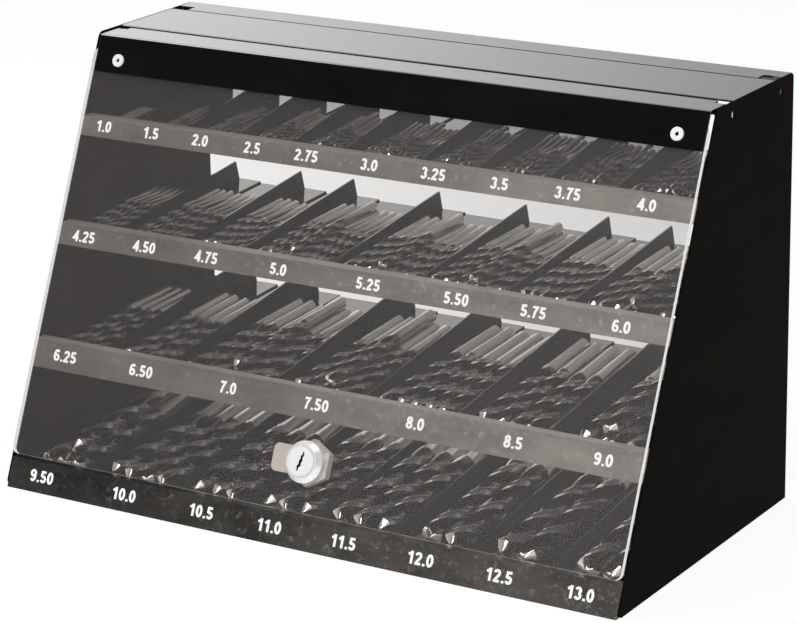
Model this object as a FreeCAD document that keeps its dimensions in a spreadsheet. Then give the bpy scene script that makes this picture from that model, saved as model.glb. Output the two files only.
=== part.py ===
import FreeCAD, Part
import math
import os
import Sketcher

# Counter-top display case for twist drill bits: a folded sheet steel body with four sloping
# trays, a clear lid hinged at the top front, a cam lock in the lid, and the bits themselves.
# Frame: millimetres, +Z up, front towards -Y, origin under the middle of the case.

os.makedirs("parts", exist_ok=True)
doc = FreeCAD.newDocument("drill_bit_case")

# ---------------------------------------------------------------------------- sizes

SIZES = {
    # case
    "half_width": 190.0,
    "half_depth": 96.3,
    "height": 234.5,
    "front_run": 103.4,          # how far the sloping front leans back over the full height
    "sheet": 1.0,
    "slant_sheet": 1.093,        # the same sheet measured level across the sloping front
    "side_depth": 191.6,
    "side_flange": 9.2,
    "pivot_back": 121.1,
    "pivot_height": 228.0,
    "rear_rivet_back": 176.7,
    "rear_rivet_height": 227.3,
    "rivet_hole": 4.1,
    "rivet_shank": 4.0,
    # top panel and rear top rail
    "panel_front": 122.8,
    "panel_rear": 171.5,
    "panel_fold": 8.5,
    "rail_front": 172.2,
    "rail_drop": 15.0,
    "rail_notch_width": 10.3,
    "rail_notch_depth": 7.3,
    # trays: height of the rail's top edge, of its lower edge, depth of its top flange,
    # step down to the floor
    "rail_top_1": 191.0, "rail_low_1": 181.2, "rail_flange_1": 6.5, "rail_step_1": 5.7,
    "rail_top_2": 136.0, "rail_low_2": 125.0, "rail_flange_2": 6.0, "rail_step_2": 5.7,
    "rail_top_3": 76.5, "rail_low_3": 62.0, "rail_flange_3": 4.5, "rail_step_3": 8.0,
    "lip_top": 15.5, "lip_flange": 4.5, "lip_fold": 5.0, "lip_step": 7.0,
    "tray_rear": 180.0,
    "tray_rise": 0.048,          # rise of a tray floor per millimetre towards the back
    "end_flange": 8.0,
    "base_flange": 10.0,
    # dividers: height of the rear peak of each row
    "peak_back": 176.8,
    "peak_height_1": 203.6, "peak_height_2": 147.4, "peak_height_3": 94.4,
    "peak_height_4": 33.5,
    "divider_foot": 15.0,
    # lid, in the plane of the sloping front: distance up the slope, distance out of it
    "pane_gap": 0.1,
    "pane_thick": 3.0,
    "pane_low": 19.0,
    "pane_high": 247.0,
    "pane_half_width": 188.4,
    "pane_corner": 4.0,
    "lid_side": 1.5,             # the folded lid sits this far to the right in its side play
    "fascia_out": 4.481,         # level distance from the sloping front to the band's face
    "fascia_in": 3.388,
    "fascia_low": 215.6,
    "fascia_half_width": 186.9,
    "fascia_rear": 118.9,
    "ear_outer": 187.0,
    "ear_radius": 5.2,
    "ear_low": 224.6,
    "notch_width": 6.0,
    "notch_depth": 4.0,
    "pane_rivet_side": 171.5,
    "pane_rivet_up": 241.0,
    # lock, around its own axis square to the pane
    "lock_side": -1.1,
    "lock_up": 45.6,
    "lock_hole": 18.4,
    "lock_rim": 22.4,
    "lock_barrel": 18.0,
    "plug_face": 15.6,
    "plug_shaft": 12.0,
    "plug_clearance": 0.05,
    "nut_flats": 22.0,
    "nut_thick": 4.5,
    "cam_width": 15.0,
    "cam_reach": 27.0,
    "cam_thick": 2.0,
    "bit_gap": 0.3,
}

# Where the dividers of each row stand, from the left outer face of the case.
DIVIDERS = {
    1: [35.0, 67.0, 99.0, 134.0, 167.0, 214.0, 248.0, 290.0, 329.0],
    2: [37.3, 82.3, 117.8, 173.9, 229.2, 280.0, 317.8],
    3: [47.0, 90.0, 155.0, 211.0, 267.0, 320.0],
    4: [50.4, 103.6, 150.6, 195.3, 241.6, 287.9, 334.1],
}

# Twist drills to DIN 338: diameter, overall length, how many lie on the tray, how many on top.
BITS = {
    1: [(1.0, 34, 7, 0), (1.5, 40, 6, 2), (2.0, 49, 7, 2), (2.5, 57, 7, 2), (2.75, 61, 6, 1),
        (3.0, 61, 9, 2), (3.25, 65, 7, 2), (3.5, 70, 8, 2), (3.75, 70, 8, 2), (4.0, 75, 9, 3)],
    2: [(4.25, 75, 6, 0), (4.5, 80, 7, 0), (4.75, 80, 5, 0), (5.0, 86, 8, 1), (5.25, 86, 8, 1),
        (5.5, 93, 7, 1), (5.75, 93, 5, 0), (6.0, 93, 8, 1)],
    3: [(6.25, 101, 4, 0), (6.5, 101, 5, 0), (7.0, 109, 7, 1), (7.5, 109, 5, 1), (8.0, 117, 5, 0),
        (8.5, 117, 4, 1), (9.0, 125, 4, 1)],
    4: [(9.5, 125, 3, 1), (10.0, 133, 4, 0), (10.5, 133, 3, 0), (11.0, 142, 3, 0), (11.5, 142, 3, 0),
        (12.0, 151, 2, 1), (12.5, 151, 2, 1), (13.0, 151, 2, 1)],
}

for row, places in DIVIDERS.items():
    for index, place in enumerate(places, start=1):
        SIZES[f"divider_{row}_{index}"] = place

sheet_cells = doc.addObject("Spreadsheet::Sheet", "sizes")
for line, (alias, value) in enumerate(SIZES.items(), start=1):
    sheet_cells.set(f"A{line}", alias)
    sheet_cells.set(f"B{line}", str(value))
    sheet_cells.setAlias(f"B{line}", alias)
doc.recompute()


class Size:
    """A length that knows both its value and its formula in the spreadsheet."""

    def __init__(self, value, formula):
        self.value = float(value)
        self.formula = formula

    def __add__(self, other):
        other = as_size(other)
        return Size(self.value + other.value, f"({self.formula} + {other.formula})")

    def __sub__(self, other):
        other = as_size(other)
        return Size(self.value - other.value, f"({self.formula} - {other.formula})")

    def __mul__(self, other):
        other = as_size(other)
        return Size(self.value * other.value, f"({self.formula} * {other.formula})")

    def __truediv__(self, other):
        other = as_size(other)
        return Size(self.value / other.value, f"({self.formula} / {other.formula})")

    def __neg__(self):
        return Size(-self.value, f"(-1 * {self.formula})")

    def __rsub__(self, other):
        return as_size(other) - self

    __radd__ = __add__
    __rmul__ = __mul__


def as_size(number):
    return number if isinstance(number, Size) else Size(number, repr(float(number)))


def cell(alias):
    return Size(SIZES[alias], f"sizes.{alias}")


def bind(item, name, size):
    """Set a property from its formula, so that the spreadsheet drives it."""
    size = as_size(size)
    item.setExpression(name, size.formula)


SHEET = cell("sheet")
SLANT = cell("slant_sheet")
LEAN = cell("front_run") / cell("height")
REAR = cell("half_depth")
HALF = cell("half_width")


def back(distance):
    """A distance back from the case's front foot, as a Y coordinate."""
    return as_size(distance) - REAR


def slope(height):
    """The Y coordinate of the sloping front at a height."""
    return as_size(height) * LEAN - REAR


# ---------------------------------------------------------------------------- modelling tools

def new_body(name):
    body = doc.addObject("PartDesign::Body", name)
    if hasattr(body, "AllowCompound"):
        body.AllowCompound = True
    return body


def new_sketch(body, name, role, offset=0):
    """A sketch on one of the body's own planes, moved along the plane's normal."""
    sketch = body.newObject("Sketcher::SketchObject", name)
    plane = [item for item in body.Origin.OriginFeatures if item.Role == role][0]
    sketch.AttachmentSupport = [(plane, "")]
    sketch.MapMode = "FlatFace"
    bind(sketch, "AttachmentOffset.Base.z", offset)
    return sketch


def fix_point(sketch, curve, point, x, y, tag):
    for axis, size in (("X", as_size(x)), ("Y", as_size(y))):
        if abs(size.value) < 1e-9:
            axis_curve = -2 if axis == "X" else -1
            sketch.addConstraint(Sketcher.Constraint("PointOnObject", curve, point, axis_curve))
            continue
        rule = Sketcher.Constraint("Distance" + axis, -1, 1, curve, point, size.value)
        number = sketch.addConstraint(rule)
        sketch.renameConstraint(number, f"{tag}_{axis.lower()}")
        bind(sketch, f"Constraints.{tag}_{axis.lower()}", size)


def draw_outline(sketch, points, tag="p"):
    """Add a closed outline whose corners are all driven by the spreadsheet."""
    corners = [FreeCAD.Vector(as_size(x).value, as_size(y).value, 0) for x, y in points]
    first = sketch.GeometryCount
    count = len(corners)
    for index in range(count):
        sketch.addGeometry(Part.LineSegment(corners[index], corners[(index + 1) % count]), False)
    for index in range(count):
        following = first + (index + 1) % count
        sketch.addConstraint(Sketcher.Constraint("Coincident", first + index, 2, following, 1))
    for index, (x, y) in enumerate(points):
        fix_point(sketch, first + index, 1, x, y, f"{tag}{index}")


def draw_circle(sketch, x, y, diameter, tag="c"):
    diameter = as_size(diameter)
    centre = FreeCAD.Vector(as_size(x).value, as_size(y).value, 0)
    number = sketch.addGeometry(Part.Circle(centre, FreeCAD.Vector(0, 0, 1), diameter.value / 2))
    fix_point(sketch, number, 3, x, y, tag)
    rule = sketch.addConstraint(Sketcher.Constraint("Diameter", number, diameter.value))
    sketch.renameConstraint(rule, f"{tag}_d")
    bind(sketch, f"Constraints.{tag}_d", diameter)


def add_pad(body, name, sketch, length):
    pad = body.newObject("PartDesign::Pad", name)
    pad.Profile = sketch
    bind(pad, "Length", length)
    body.Tip = pad
    return pad


def add_cut(body, name, sketch, length):
    """Cut along the sketch's normal, the same way that add_pad builds."""
    pocket = body.newObject("PartDesign::Pocket", name)
    pocket.Profile = sketch
    pocket.Reversed = True
    bind(pocket, "Length", length)
    body.Tip = pocket
    return pocket


def profile_pad(body, name, points, start, length, role="YZ_Plane"):
    sketch = new_sketch(body, name + "_outline", role, start)
    draw_outline(sketch, points)
    return add_pad(body, name, sketch, length)


def profile_cut(body, name, points, start, length, role="YZ_Plane"):
    sketch = new_sketch(body, name + "_outline", role, start)
    draw_outline(sketch, points)
    return add_cut(body, name, sketch, length)


def disc_pad(body, name, circles, start, length, role="XY_Plane"):
    sketch = new_sketch(body, name + "_outline", role, start)
    for index, (x, y, diameter) in enumerate(circles):
        draw_circle(sketch, x, y, diameter, f"c{index}")
    return add_pad(body, name, sketch, length)


def disc_cut(body, name, circles, start, length, role="XY_Plane"):
    sketch = new_sketch(body, name + "_outline", role, start)
    for index, (x, y, diameter) in enumerate(circles):
        draw_circle(sketch, x, y, diameter, f"c{index}")
    return add_cut(body, name, sketch, length)


def round_edges(body, name, radius, wanted):
    """Fillet the edges whose middle point the test accepts."""
    doc.recompute()
    base = body.Tip
    names = []
    for index, edge in enumerate(base.Shape.Edges, start=1):
        middle = edge.valueAt((edge.FirstParameter + edge.LastParameter) / 2)
        if wanted(middle, edge):
            names.append(f"Edge{index}")
    fillet = body.newObject("PartDesign::Fillet", name)
    fillet.Base = (base, names)
    fillet.Radius = radius
    body.Tip = fillet
    return fillet


def near(a, b, reach=0.05):
    return abs(a - b) < reach


# ---------------------------------------------------------------------------- side panels

def make_side_panel(name, side):
    """One pressed side: a plate with an inward flange down its rear edge."""
    body = new_body(name)
    plate = [(slope(0), 0), (slope(cell("height")), cell("height")),
             (back(cell("side_depth")), cell("height")), (back(cell("side_depth")), 0)]
    start = -HALF if side < 0 else HALF - SHEET
    profile_pad(body, name + "_plate", plate, start, SHEET)
    flange = [(back(cell("side_depth") - SHEET), 1.2), (back(cell("side_depth") - SHEET), 233.2),
              (back(cell("side_depth")), 233.2), (back(cell("side_depth")), 1.2)]
    start = -HALF if side < 0 else HALF - cell("side_flange")
    profile_pad(body, name + "_flange", flange, start, cell("side_flange"))
    start = -HALF if side < 0 else HALF - SHEET
    holes = [(back(cell("pivot_back")), cell("pivot_height"), cell("rivet_hole")),
             (back(cell("rear_rivet_back")), cell("rear_rivet_height"), cell("rivet_hole"))]
    disc_cut(body, name + "_holes", holes, start, SHEET, "YZ_Plane")
    outer = side * SIZES["half_width"]
    middle_of_sheet = outer - side * 0.5

    def corner(y, z):
        return lambda point, edge: (near(point.x, middle_of_sheet) and near(point.y, y, 0.3)
                                    and near(point.z, z, 0.3))

    top_front = SIZES["front_run"] - SIZES["half_depth"]
    rear = SIZES["side_depth"] - SIZES["half_depth"]
    round_edges(body, name + "_top_front", 5.0, corner(top_front, SIZES["height"]))
    round_edges(body, name + "_foot", 3.0, corner(-SIZES["half_depth"], 0))
    round_edges(body, name + "_top_rear", 2.5, corner(rear, SIZES["height"]))
    return body


side_panel_left = make_side_panel("side_panel_left", -1)
side_panel_right = make_side_panel("side_panel_right", 1)

# ---------------------------------------------------------------------------- base and trays

INSIDE = HALF - SHEET
LIP = cell("lip_top")
lip_wall = slope(LIP) + cell("lip_flange")

base_pan = new_body("base_pan")
profile_pad(base_pan, "base_sheet", [
    (slope(LIP), LIP),
    (lip_wall + SHEET, LIP),
    (lip_wall + SHEET, LIP - cell("lip_fold")),
    (lip_wall, LIP - cell("lip_fold")),
    (lip_wall, LIP - SHEET),
    (slope(LIP - SHEET) + SLANT, LIP - SHEET),
    (slope(SHEET) + SLANT, SHEET),
    (back(190.4), SHEET),
    (back(190.4), 0),
    (slope(0), 0),
], -INSIDE, INSIDE * 2)
base_side = [(back(14.0), SHEET - 0.5), (back(190.0), SHEET - 0.5),
             (back(190.0), cell("base_flange")), (back(14.0), cell("base_flange"))]
profile_pad(base_pan, "base_left_flange", base_side, -INSIDE, SHEET)
profile_pad(base_pan, "base_right_flange", base_side, INSIDE - SHEET, SHEET)


def tray_section(row):
    """Section of a tray: folded front rail, step down, rising floor."""
    top = cell(f"rail_top_{row}")
    low = cell(f"rail_low_{row}")
    wall = slope(top) + cell(f"rail_flange_{row}")
    floor = top - cell(f"rail_step_{row}")
    rear = back(cell("tray_rear"))
    rear_floor = floor + (rear - wall - SHEET) * cell("tray_rise")
    return top, low, wall, floor, rear, rear_floor


def make_tray(row):
    top, low, wall, floor, rear, rear_floor = tray_section(row)
    body = new_body(f"tray_{row}")
    profile_pad(body, f"tray_{row}_sheet", [
        (slope(top), top),
        (wall + SHEET, top),
        (wall + SHEET, floor),
        (rear, rear_floor),
        (rear, rear_floor - SHEET),
        (wall, floor - SHEET),
        (wall, top - SHEET),
        (slope(top - SHEET) + SLANT, top - SHEET),
        (slope(low) + SLANT, low),
        (slope(low), low),
    ], -INSIDE, INSIDE * 2)
    end = [
        (slope(top - SHEET) + SLANT - 0.5, top - 0.5),
        (slope(low) + SLANT - 0.5, low),
        (wall + SHEET, low),
        (rear - 2, rear_floor - SHEET - cell("end_flange")),
        (rear - 2, rear_floor - 0.5),
        (wall + 0.5, floor - 0.5),
        (wall + 0.5, top - 0.5),
    ]
    profile_pad(body, f"tray_{row}_left_end", end, -INSIDE, SHEET)
    profile_pad(body, f"tray_{row}_right_end", end, INSIDE - SHEET, SHEET)
    return body


trays = [make_tray(row) for row in (1, 2, 3)]

# The lowest tray is a separate floor behind the lip, standing on a leg at the back.
low_floor = LIP - cell("lip_step")
low_front = lip_wall + SHEET
low_rear = back(cell("tray_rear"))
low_rear_floor = low_floor + (low_rear - low_front - SHEET) * cell("tray_rise")
tray_4 = new_body("tray_4")
profile_pad(tray_4, "tray_4_sheet", [
    (low_front, LIP - 1.2),
    (low_front + SHEET, LIP - 1.2),
    (low_front + SHEET, low_floor),
    (low_rear, low_rear_floor),
    (low_rear, SHEET),
    (low_rear - SHEET, SHEET),
    (low_rear - SHEET, low_rear_floor - SHEET),
    (low_front, low_floor - SHEET),
], -(INSIDE - SHEET - 0.1), (INSIDE - SHEET - 0.1) * 2)
trays.append(tray_4)


# ---------------------------------------------------------------------------- dividers

def floor_of(row):
    """Front wall, floor height there and rear edge of a row's floor."""
    if row == 4:
        return low_front, low_floor, low_rear, low_rear_floor, LIP - 1.2
    top, low, wall, floor, rear, rear_floor = tray_section(row)
    return wall, floor, rear, rear_floor, top


def make_dividers(row):
    """Upright fins, each with a foot turned to its right, spot-welded to the floor."""
    wall, floor, rear, rear_floor, top = floor_of(row)
    front = wall + SHEET
    side = INSIDE - SHEET - 0.2
    body = new_body(f"dividers_row_{row}")
    name = f"divider_{row}"
    profile_pad(body, name + "_fins", [
        (front, floor),
        (rear, rear_floor),
        (back(cell("peak_back")), cell(f"peak_height_{row}")),
        (back(cell("peak_back") - 1.6), cell(f"peak_height_{row}") - 0.1),
        (front + 4, top),
        (front, top - 0.5),
    ], -side, side * 2)
    places = [cell(f"{name}_{index}") - HALF for index in range(1, len(DIVIDERS[row]) + 1)]
    half_sheet = SHEET / 2
    starts = [-side - 1] + [place + half_sheet for place in places]
    ends = [place - half_sheet for place in places] + [side + 1]
    gaps = new_sketch(body, name + "_gap_outline", "XY_Plane", floor - 3)
    for index, (start, end) in enumerate(zip(starts, ends)):
        draw_outline(gaps, [(start, front - 2), (end, front - 2), (end, rear + 2),
                            (start, rear + 2)], f"g{index}_")
    add_cut(body, name + "_gaps", gaps, 60)
    for index, place in enumerate(places, start=1):
        profile_pad(body, f"{name}_foot_{index}", [
            (front, floor),
            (rear, rear_floor),
            (rear, rear_floor + SHEET),
            (front, floor + SHEET),
        ], place, cell("divider_foot"))
    return body


dividers = [make_dividers(row) for row in (1, 2, 3, 4)]

# ---------------------------------------------------------------------------- top

HEIGHT = cell("height")
UNDER = HEIGHT - SHEET

top_panel = new_body("top_panel")
panel_front = back(cell("panel_front"))
panel_rear = back(cell("panel_rear"))
profile_pad(top_panel, "panel_plate", [
    (panel_front, UNDER), (panel_front, HEIGHT), (panel_rear, HEIGHT), (panel_rear, UNDER),
], -INSIDE, INSIDE * 2)
fold_end = INSIDE - 9
for label, fold_front in (("front", panel_front), ("rear", panel_rear - SHEET)):
    profile_pad(top_panel, f"panel_{label}_fold", [
        (fold_front, HEIGHT - cell("panel_fold")), (fold_front, UNDER + 0.5),
        (fold_front + SHEET, UNDER + 0.5), (fold_front + SHEET, HEIGHT - cell("panel_fold")),
    ], -fold_end, fold_end * 2)
tab = [(back(133.0), 224.5), (back(133.0), UNDER + 0.5), (back(163.0), UNDER + 0.5),
       (back(163.0), 224.5)]
profile_pad(top_panel, "panel_left_tab", tab, -INSIDE, SHEET)
profile_pad(top_panel, "panel_right_tab", tab, INSIDE - SHEET, SHEET)
round_edges(top_panel, "panel_bends", 0.9, lambda point, edge: (
    near(point.z, SIZES["height"]) and edge.Length > 300
    and (near(point.y, panel_front.value) or near(point.y, panel_rear.value))))

rear_top_rail = new_body("rear_top_rail")
rail_front = back(cell("rail_front"))
rail_rear = back(cell("side_depth") + SHEET)
profile_pad(rear_top_rail, "rail_sheet", [
    (rail_front, UNDER), (rail_front, HEIGHT), (rail_rear, HEIGHT),
    (rail_rear, HEIGHT - cell("rail_drop")), (rail_rear - SHEET, HEIGHT - cell("rail_drop")),
    (rail_rear - SHEET, UNDER),
], -INSIDE, INSIDE * 2)
profile_pad(rear_top_rail, "rail_front_fold", [
    (rail_front, HEIGHT - 8), (rail_front, UNDER + 0.5),
    (rail_front + SHEET, UNDER + 0.5), (rail_front + SHEET, HEIGHT - 8),
], -fold_end + 3, (fold_end - 3) * 2)
notch_inner = INSIDE - cell("rail_notch_width")
notch_rear = rail_front + cell("rail_notch_depth")
for label, left, right in (("left", -INSIDE - 1, -notch_inner), ("right", notch_inner, INSIDE + 1)):
    profile_cut(rear_top_rail, f"rail_{label}_notch", [
        (left, rail_front - 1), (right, rail_front - 1), (right, notch_rear), (left, notch_rear),
    ], HEIGHT - 9, 10, "XY_Plane")
ear = [(rail_front + 0.3, 221.0), (rail_front + 0.3, UNDER - 1.0), (notch_rear, UNDER - 1.0),
       (notch_rear, UNDER + 0.5), (back(190.3), UNDER + 0.5), (back(190.3), 221.0)]
profile_pad(rear_top_rail, "rail_left_ear", ear, -INSIDE, SHEET)
profile_pad(rear_top_rail, "rail_right_ear", ear, INSIDE - SHEET, SHEET)
rear_hole = [(back(cell("rear_rivet_back")), cell("rear_rivet_height"), cell("rivet_shank"))]
disc_cut(rear_top_rail, "rail_left_hole", rear_hole, -INSIDE, SHEET, "YZ_Plane")
disc_cut(rear_top_rail, "rail_right_hole", rear_hole, INSIDE - SHEET, SHEET, "YZ_Plane")
round_edges(rear_top_rail, "rail_bend", 2.0, lambda point, edge: (
    near(point.z, SIZES["height"]) and near(point.y, rail_rear.value) and edge.Length > 300))

# Rivets through the side panels: head inside, end just below the outer face.
rear_rail_rivets = new_body("rear_rail_rivets")
y, z = back(cell("rear_rivet_back")), cell("rear_rivet_height")
shank_start = HALF - 0.4
disc_pad(rear_rail_rivets, "left_shank", [(y, z, cell("rivet_shank"))],
         -shank_start, SHEET * 2 - 0.4, "YZ_Plane")
disc_pad(rear_rail_rivets, "left_head", [(y, z, 7.6)], -(INSIDE - SHEET), 1.2, "YZ_Plane")
disc_pad(rear_rail_rivets, "right_shank", [(y, z, cell("rivet_shank"))],
         INSIDE - SHEET, SHEET * 2 - 0.4, "YZ_Plane")
disc_pad(rear_rail_rivets, "right_head", [(y, z, 7.6)], INSIDE - SHEET - 1.2, 1.2, "YZ_Plane")

# ---------------------------------------------------------------------------- lid

lid_fascia = new_body("lid_fascia")
EAR = cell("ear_outer")
lid_side = cell("lid_side")
lid_left = lid_side - EAR
lid_right = lid_side + EAR
band_low = cell("fascia_low")
fascia_rear = back(cell("fascia_rear"))
profile_pad(lid_fascia, "fascia_sheet", [
    (slope(band_low) - cell("fascia_out"), band_low),
    (slope(HEIGHT) - cell("fascia_out"), HEIGHT),
    (fascia_rear, HEIGHT),
    (fascia_rear, UNDER),
    (slope(UNDER) - cell("fascia_in"), UNDER),
    (slope(band_low) - cell("fascia_in"), band_low),
], lid_left, EAR * 2)
band_end = cell("fascia_half_width")
for label, start in (("left", lid_left - 1), ("right", lid_side + band_end)):
    profile_cut(lid_fascia, f"fascia_{label}_end", [
        (back(80.0), 200.0), (back(80.0), 240.0), (back(104.6), 240.0), (back(104.6), 200.0),
    ], start, EAR - band_end + 1)
notch_width = cell("notch_width")
notch_front = fascia_rear - cell("notch_depth")
for label, left, right in (("left", lid_left - 1, lid_left + notch_width),
                           ("right", lid_right - notch_width, lid_right + 1)):
    profile_cut(lid_fascia, f"fascia_{label}_notch", [
        (left, notch_front), (right, notch_front), (right, fascia_rear + 1),
        (left, fascia_rear + 1),
    ], UNDER - 1, 3, "XY_Plane")
round_edges(lid_fascia, "fascia_bend", 1.5, lambda point, edge: (
    near(point.z, SIZES["height"]) and edge.Length > 300 and point.y < 4))
pivot_y = back(cell("pivot_back"))
pivot_z = cell("pivot_height")
ear_plate = [
    (back(104.8), cell("ear_low") + 1.5),
    (back(104.8), UNDER + 0.5),
    (notch_front, UNDER + 0.5),
    (notch_front, pivot_z + cell("ear_radius") * 0.95),
    (pivot_y, pivot_z + cell("ear_radius") * 0.95),
    (pivot_y, pivot_z - cell("ear_radius") * 0.95),
    (back(112.0), cell("ear_low") - 1.5),
]
ear_disc = [(pivot_y, pivot_z, cell("ear_radius") * 2)]
ear_hole = [(pivot_y, pivot_z, cell("rivet_shank"))]
for label, start in (("left", lid_left), ("right", lid_right - SHEET)):
    profile_pad(lid_fascia, f"{label}_ear", ear_plate, start, SHEET)
    disc_pad(lid_fascia, f"{label}_ear_end", ear_disc, start, SHEET, "YZ_Plane")
    disc_cut(lid_fascia, f"{label}_ear_hole", ear_hole, start, SHEET, "YZ_Plane")

lid_pivot_rivets = new_body("lid_pivot_rivets")
shank_end = HALF - 0.3
disc_pad(lid_pivot_rivets, "pivot_left_shank", [(pivot_y, pivot_z, cell("rivet_shank"))],
         -shank_end, lid_left + SHEET + shank_end, "YZ_Plane")
disc_pad(lid_pivot_rivets, "pivot_left_head", [(pivot_y, pivot_z, 8.0)],
         lid_left + SHEET, 1.2, "YZ_Plane")
disc_pad(lid_pivot_rivets, "pivot_right_shank", [(pivot_y, pivot_z, cell("rivet_shank"))],
         lid_right - SHEET, shank_end - lid_right + SHEET, "YZ_Plane")
disc_pad(lid_pivot_rivets, "pivot_right_head", [(pivot_y, pivot_z, 8.0)],
         lid_right - SHEET - 1.2, 1.2, "YZ_Plane")

# What lies square to the pane is drawn flat, X across, Y up the slope, Z out of it, and
# each body is then leant back with the front.
front_angle = math.degrees(math.atan2(SIZES["height"], SIZES["front_run"]))
LEAN_BACK = FreeCAD.Placement(FreeCAD.Vector(0, -SIZES["half_depth"], 0),
                              FreeCAD.Rotation(FreeCAD.Vector(1, 0, 0), front_angle))


def new_front_body(name):
    body = new_body(name)
    body.Placement = LEAN_BACK
    return body


lock_side = cell("lock_side")
lock_up = cell("lock_up")
pane_front = cell("pane_gap") + cell("pane_thick")
rivet_up = cell("pane_rivet_up")
rivet_left = lid_side - cell("pane_rivet_side")
rivet_right = lid_side + cell("pane_rivet_side")
pane_half = cell("pane_half_width")

lid_pane = new_front_body("lid_pane")
profile_pad(lid_pane, "pane_sheet", [
    (-pane_half, cell("pane_low")), (pane_half, cell("pane_low")),
    (pane_half, cell("pane_high")), (-pane_half, cell("pane_high")),
], cell("pane_gap"), cell("pane_thick"), "XY_Plane")
disc_cut(lid_pane, "pane_holes", [
    (lock_side, lock_up, cell("lock_hole")),
    (rivet_left, rivet_up, cell("rivet_shank")),
    (rivet_right, rivet_up, cell("rivet_shank")),
], cell("pane_gap"), cell("pane_thick"))
round_edges(lid_pane, "pane_corners", SIZES["pane_corner"], lambda point, edge: (
    near(edge.Length, SIZES["pane_thick"]) and abs(point.x) > 180))

# The band's two holes are drilled square to the pane.
hole_start = SIZES["pane_gap"] + SIZES["pane_thick"] - 0.5
for index, place in enumerate((rivet_left, rivet_right), start=1):
    drill = doc.addObject("Part::Cylinder", f"band_drill_{index}")
    bind(drill, "Radius", cell("rivet_shank") / 2)
    bind(drill, "Height", 3)
    centre = FreeCAD.Vector(place.value, SIZES["pane_rivet_up"], hole_start)
    drill.Placement = LEAN_BACK.multiply(FreeCAD.Placement(centre, FreeCAD.Rotation()))
band_left = doc.addObject("Part::Cut", "fascia_left_drilled")
band_left.Base = lid_fascia
band_left.Tool = doc.getObject("band_drill_1")
fascia_drilled = doc.addObject("Part::Cut", "fascia_drilled")
fascia_drilled.Base = band_left
fascia_drilled.Tool = doc.getObject("band_drill_2")

lid_pane_rivets = new_front_body("lid_pane_rivets")
band_face = pane_front + SHEET
for label, x in (("left", rivet_left), ("right", rivet_right)):
    disc_pad(lid_pane_rivets, f"{label}_rivet_flange", [(x, rivet_up, 7.0)], band_face, 1.0)
    disc_pad(lid_pane_rivets, f"{label}_rivet_shank", [(x, rivet_up, cell("rivet_shank"))],
             cell("pane_gap") - 1, band_face - cell("pane_gap") + 1.5)
    disc_pad(lid_pane_rivets, f"{label}_rivet_tail", [(x, rivet_up, 6.0)],
             cell("pane_gap") - 2, 2.0)
    disc_cut(lid_pane_rivets, f"{label}_rivet_bore", [(x, rivet_up, 2.2)], band_face - 1, 3)

# ---------------------------------------------------------------------------- lock

plug_gap = cell("plug_clearance") * 2
lock_body = new_front_body("lock_body")
disc_pad(lock_body, "lock_rim_disc", [(lock_side, lock_up, cell("lock_rim"))], pane_front, 2.4)
disc_pad(lock_body, "lock_nose_disc", [(lock_side, lock_up, cell("lock_rim"))], pane_front + 2.4, 3.1)
doc.recompute()
nose = lock_body.Tip
nose_edges = [f"Edge{index}" for index, edge in enumerate(nose.Shape.Edges, start=1)
              if edge.Length > 60 and edge.CenterOfMass.z > pane_front.value + 5]
lock_bevel = lock_body.newObject("PartDesign::Chamfer", "lock_bevel")
lock_bevel.Base = (nose, nose_edges)
lock_bevel.ChamferType = "Two distances"
lock_bevel.Size = 2.2
lock_bevel.Size2 = 2.8
lock_body.Tip = lock_bevel
disc_pad(lock_body, "lock_barrel_tube", [(lock_side, lock_up, cell("lock_barrel"))], -6.3,
         pane_front + 6.8)
disc_cut(lock_body, "lock_bore", [(lock_side, lock_up, cell("plug_shaft") + plug_gap)], -7.3, 20)
disc_cut(lock_body, "lock_counterbore", [(lock_side, lock_up, cell("plug_face") + plug_gap)],
         pane_front + 2.4, 10)

lock_nut = new_front_body("lock_nut")
nut_radius = cell("nut_flats") / math.sqrt(3)
hexagon = []
for corner_number in range(6):
    angle = math.radians(90 + 60 * corner_number)
    hexagon.append((lock_side + nut_radius * round(math.cos(angle), 6),
                    lock_up + nut_radius * round(math.sin(angle), 6)))
profile_pad(lock_nut, "nut_hexagon", hexagon, cell("pane_gap") - cell("nut_thick"),
            cell("nut_thick"), "XY_Plane")
disc_cut(lock_nut, "nut_bore", [(lock_side, lock_up, cell("lock_barrel"))], -8, 10)

lock_plug = new_front_body("lock_plug")
plug_shoulder = pane_front + 2.5
disc_pad(lock_plug, "plug_face_disc", [(lock_side, lock_up, cell("plug_face"))], plug_shoulder, 3.5)
disc_pad(lock_plug, "plug_shaft_rod", [(lock_side, lock_up, cell("plug_shaft"))], -6.4,
         plug_shoulder + 6.4 + 1)
post_square = [
    (lock_side - 4, lock_up - 4), (lock_side + 4, lock_up - 4), (lock_side + 4, lock_up + 4),
    (lock_side - 4, lock_up + 4),
]
profile_pad(lock_plug, "plug_post", post_square, -(cell("cam_thick") + 6.4),
            cell("cam_thick") + 1, "XY_Plane")
# The key slot is a zigzag of short steps.
slot = [(-1.5, -5.2), (-0.7, -5.2), (-0.5, -3.2), (0.5, -2.6), (0.5, -0.6), (1.1, 0.2),
        (0.9, 2.4), (1.5, 2.9), (1.2, 5.2), (0.5, 5.2), (0.2, 3.4), (-0.5, 3.0), (-0.4, 1.0),
        (-1.1, 0.4), (-1.0, -1.8), (-1.9, -2.4)]
profile_cut(lock_plug, "key_slot", [(lock_side + x, lock_up + y) for x, y in slot],
            plug_shoulder - 6, 12, "XY_Plane")
disc_cut(lock_plug, "plug_screw_hole", [(lock_side, lock_up, 4.0)], -9.4, 8.4)

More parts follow.
